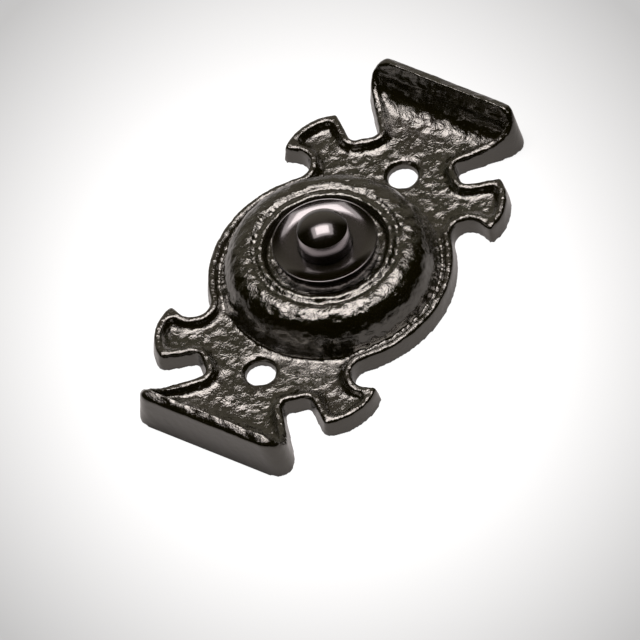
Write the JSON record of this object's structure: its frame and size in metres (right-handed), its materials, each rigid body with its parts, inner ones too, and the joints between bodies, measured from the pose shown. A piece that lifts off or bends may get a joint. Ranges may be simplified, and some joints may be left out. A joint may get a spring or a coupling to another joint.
{
  "type": "door bell push",
  "caption": "Cast iron door bell push: pronged plate with a hollow boss and screw holes, and a sprung domed button in a dished cup.",
  "frame": {"origin": "centre of the flat back face, where the plate meets the door frame", "axes": "+Z out of the face towards the visitor's finger, +Y up along the plate through both screw holes"},
  "size_m": [0.047, 0.0888, 0.0174],
  "materials": {
    "enamelled_iron": "gloss black enamel over pitted sand-cast iron",
    "black_moulding": "polished black moulding",
    "base_moulding": "matt brown moulding",
    "contact_brass": "bright brass",
    "spring_steel": "drawn spring steel",
    "plated_steel": "zinc plated steel"
  },
  "bodies": {
    "plate": {"backplate": "enamelled_iron", "push_cup": "black_moulding", "return_spring": "spring_steel", "clamp_washer": "plated_steel", "clamp_nut": "contact_brass", "contact_base": "base_moulding", "contact_strip_left": "contact_brass", "contact_strip_right": "contact_brass", "terminal_washer_left": "contact_brass", "terminal_washer_right": "contact_brass", "terminal_screw_left": "contact_brass", "terminal_screw_right": "contact_brass", "terminal_nut_left": "contact_brass", "terminal_nut_right": "contact_brass", "base_screw_lower": "plated_steel", "base_screw_upper": "plated_steel"},
    "button": {"push_button": "black_moulding", "bridge_contact": "contact_brass", "bridge_clip": "spring_steel"}
  },
  "joints": [
    {"name": "button_press", "type": "slide", "parent": "plate", "child": "button", "axis": [0, 0, -1], "range_m": [0, 0.0015], "stiffness_N_per_m": 400, "springref_m": -0.0015, "deforming": ["return_spring"]}
  ]
}
